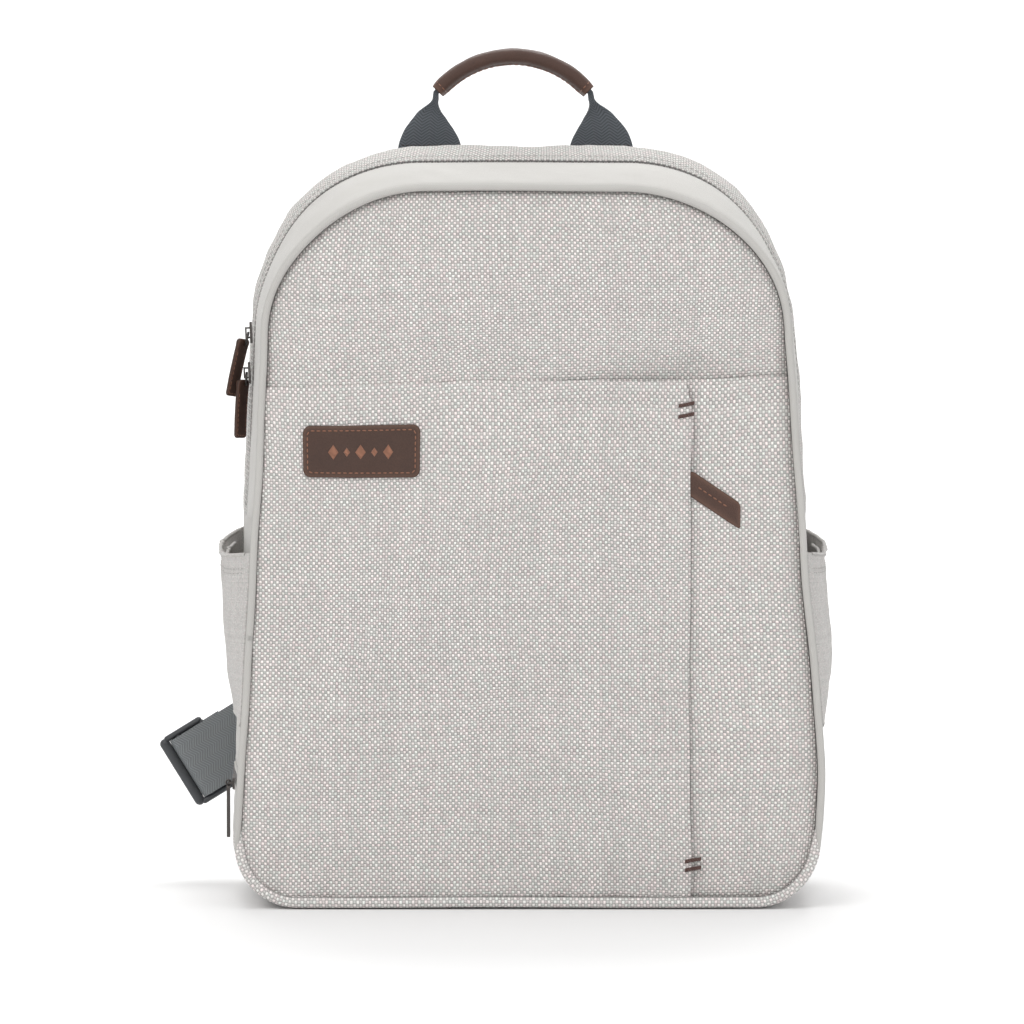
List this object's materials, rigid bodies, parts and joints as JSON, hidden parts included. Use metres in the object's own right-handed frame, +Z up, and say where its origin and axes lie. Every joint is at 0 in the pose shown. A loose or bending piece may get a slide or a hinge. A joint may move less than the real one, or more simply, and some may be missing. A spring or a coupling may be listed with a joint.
{
  "type": "diaper backpack",
  "caption": "Upright changing backpack with an arched fold-down lid, zip front pocket, side bottle pockets, carry handle and padded shoulder straps with webbing adjusters.",
  "frame": {"origin": "centre of the flat underside, midway between the sides, 66 mm behind the underside's front edge", "axes": "+Z up, -Y is the front face, +X is to the right seen from the front"},
  "size_m": [0.3886, 0.1983, 0.4783],
  "materials": {
    "woven_front": "coarse basket weave",
    "woven_rear": "coarse basket weave",
    "twill": "smooth twill",
    "melange": "smooth melange",
    "lining": "thin plain weave",
    "mesh_pad": "padded air mesh",
    "webbing": "woven webbing",
    "zip_tape": "zip tape",
    "zip_coil": "nylon coil",
    "stiffener": "sheet",
    "lock_plastic": "moulded",
    "elastic": "covered elastic",
    "leather": "smooth",
    "thread": "embroidery thread",
    "gunmetal": "satin gunmetal"
  },
  "bodies": {
    "shell": {"back_panel": "woven_rear", "back_pads": "mesh_pad", "lumbar_pad": "mesh_pad", "strap_yoke": "woven_rear", "rear_gusset": "woven_rear", "side_panel_left": "twill", "side_panel_right": "twill", "front_gusset": "twill", "base_panel": "woven_rear", "base_board": "stiffener", "front_wall": "lining", "pocket_panel": "woven_front", "front_side_panel": "woven_front", "piping_lower": "twill", "pocket_zip_tapes": "zip_tape", "pocket_zip_teeth": "zip_coil", "bar_tacks": "thread", "label_patch": "leather", "zip_tape_rear": "zip_tape", "zip_teeth_rear": "zip_coil", "zip_tape_front_lower": "zip_tape", "zip_teeth_front_lower": "zip_coil", "base_zip_tapes": "zip_tape", "base_zip_teeth": "zip_coil", "compartment_floor": "lining", "laptop_sleeve": "lining", "organizer_panel": "lining", "main_lining": "lining", "side_pocket_left": "melange", "side_pocket_right": "melange", "pocket_elastics": "elastic", "anchor_tabs": "woven_rear"},
    "lid": {"lid_panel": "woven_front", "lid_gusset": "twill", "lid_piping": "twill", "lid_zip_tape": "zip_tape", "lid_zip_teeth": "zip_coil", "lid_lining": "lining"},
    "handle": {"handle_webbing": "webbing", "handle_sleeve": "leather"},
    "upper_slider": {"main_slider_upper": "gunmetal"},
    "upper_pull": {"main_pull_upper_ring": "gunmetal", "main_pull_upper_tab": "leather"},
    "lower_slider": {"main_slider_lower": "gunmetal"},
    "lower_pull": {"main_pull_lower_ring": "gunmetal", "main_pull_lower_tab": "leather"},
    "front_pocket_slider": {"pocket_slider": "gunmetal"},
    "front_pocket_pull": {"pocket_pull_ring": "gunmetal", "pocket_pull_tab": "leather"},
    "base_zip_slider": {"base_slider": "gunmetal"},
    "base_zip_pull": {"base_pull": "gunmetal"},
    "left_strap": {"left_strap_pad": "melange", "left_webbing_upper": "webbing", "left_webbing_lower": "webbing"},
    "left_lock": {"left_ladder_lock": "lock_plastic"},
    "right_strap": {"right_strap_pad": "melange", "right_webbing_upper": "webbing", "right_webbing_lower": "webbing"},
    "right_lock": {"right_ladder_lock": "lock_plastic"}
  },
  "joints": [
    {"name": "lid_fold", "type": "hinge", "parent": "shell", "child": "lid", "pos_m": [0, -0.065, 0.286], "axis": [1, 0, 0], "range_deg": [0, 115]},
    {"name": "handle_tilt", "type": "hinge", "parent": "shell", "child": "handle", "pos_m": [0, 0.058, 0.417], "axis": [1, 0, 0], "range_deg": [-80, 55], "stiffness_Nm_per_rad": 0.08},
    {"name": "upper_zip_travel", "type": "hinge", "parent": "shell", "child": "upper_slider", "pos_m": [-0.058, -0.008, 0.32], "axis": [0, 1, 0], "range_deg": [0, 88]},
    {"name": "upper_pull_swing", "type": "hinge", "parent": "upper_slider", "child": "upper_pull", "pos_m": [-0.15503, -0.008, 0.3165], "axis": [0, 1, 0], "range_deg": [0, 150]},
    {"name": "lower_zip_travel", "type": "slide", "parent": "shell", "child": "lower_slider", "axis": [-0.0417, 0, -0.9991], "range_m": [0, 0.05]},
    {"name": "lower_pull_swing", "type": "hinge", "parent": "lower_slider", "child": "lower_pull", "pos_m": [-0.15597, -0.008, 0.294], "axis": [0, 1, 0], "range_deg": [0, 10]},
    {"name": "pocket_zip_travel", "type": "slide", "parent": "shell", "child": "front_pocket_slider", "axis": [0, 0.0755, 0.9971], "range_m": [-0.19, 0.022]},
    {"name": "pocket_pull_swing", "type": "hinge", "parent": "front_pocket_slider", "child": "front_pocket_pull", "pos_m": [0.086, -0.06493, 0.238], "axis": [0, 0.9971, -0.0755], "range_deg": [-45, 50]},
    {"name": "base_zip_travel", "type": "slide", "parent": "shell", "child": "base_zip_slider", "axis": [-0.0712, 0.9975, 0], "range_m": [0, 0.075]},
    {"name": "base_pull_swing", "type": "hinge", "parent": "base_zip_slider", "child": "base_zip_pull", "pos_m": [-0.16422, -0.061, 0.068], "axis": [0, 1, 0], "range_deg": [0, 100]},
    {"name": "left_strap_swing", "type": "hinge", "parent": "shell", "child": "left_strap", "pos_m": [-0.0474, 0.0882, 0.3768], "axis": [0.3458, 0.0588, 0.9365], "range_deg": [-12, 22], "stiffness_Nm_per_rad": 0.4},
    {"name": "left_lock_tilt", "type": "hinge", "parent": "left_strap", "child": "left_lock", "pos_m": [-0.19026, 0.076, 0.06503], "axis": [-0.5235, 0, 0.852], "range_deg": [0, 20]},
    {"name": "right_strap_swing", "type": "hinge", "parent": "shell", "child": "right_strap", "pos_m": [0.0474, 0.0882, 0.3768], "axis": [0.3187, -0.0588, -0.946], "range_deg": [-8, 22], "stiffness_Nm_per_rad": 0.4},
    {"name": "right_lock_tilt", "type": "hinge", "parent": "right_strap", "child": "right_lock", "pos_m": [0.1376, 0.076, 0.05072], "axis": [-0.9682, 0, 0.25], "range_deg": [0, 14]}
  ]
}
